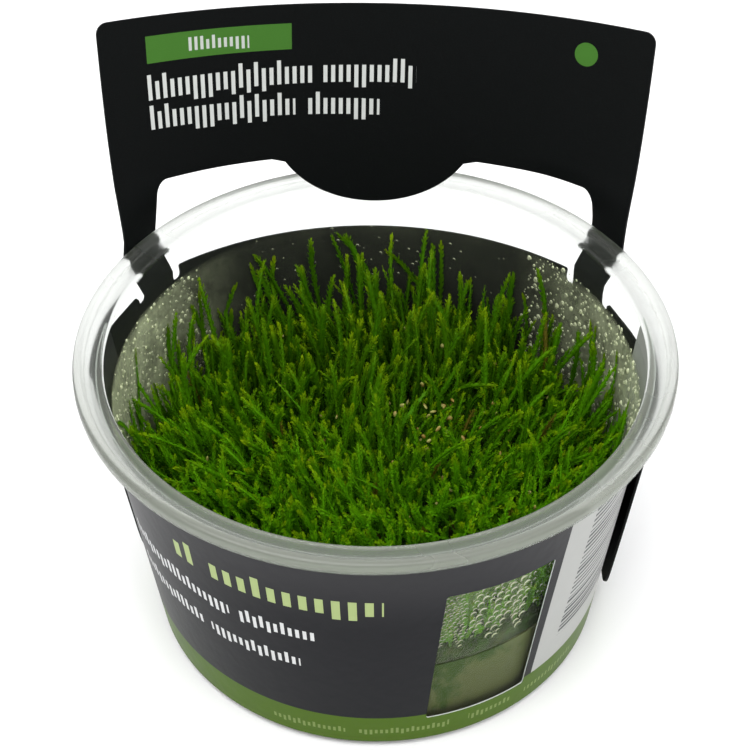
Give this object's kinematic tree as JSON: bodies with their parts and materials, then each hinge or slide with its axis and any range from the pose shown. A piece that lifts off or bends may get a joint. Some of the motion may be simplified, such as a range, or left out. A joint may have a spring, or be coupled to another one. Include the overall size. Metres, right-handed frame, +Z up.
{
  "type": "moss clump",
  "caption": "Clump of bright green moss on clouded gel in an open clear cup with a printed wrap label and a black header card clipped over the rim.",
  "frame": {"origin": "centre of the cup's flat base", "axes": "+Z up along the cup's axis, +X to the right of someone facing the label, -Y towards that person"},
  "size_m": [0.101, 0.101, 0.0949],
  "materials": {
    "clear_plastic": "clear, gloss",
    "clouded_gel": "soft clouded gel",
    "moss_green": "soft leafy",
    "label_film": "printed film, gloss",
    "black_card": "matte"
  },
  "bodies": {
    "root": {"cup": "clear_plastic", "nutrient_gel": "clouded_gel", "moss_clump": "moss_green", "wrap_label": "label_film", "hang_card": "black_card"}
  },
  "joints": []
}
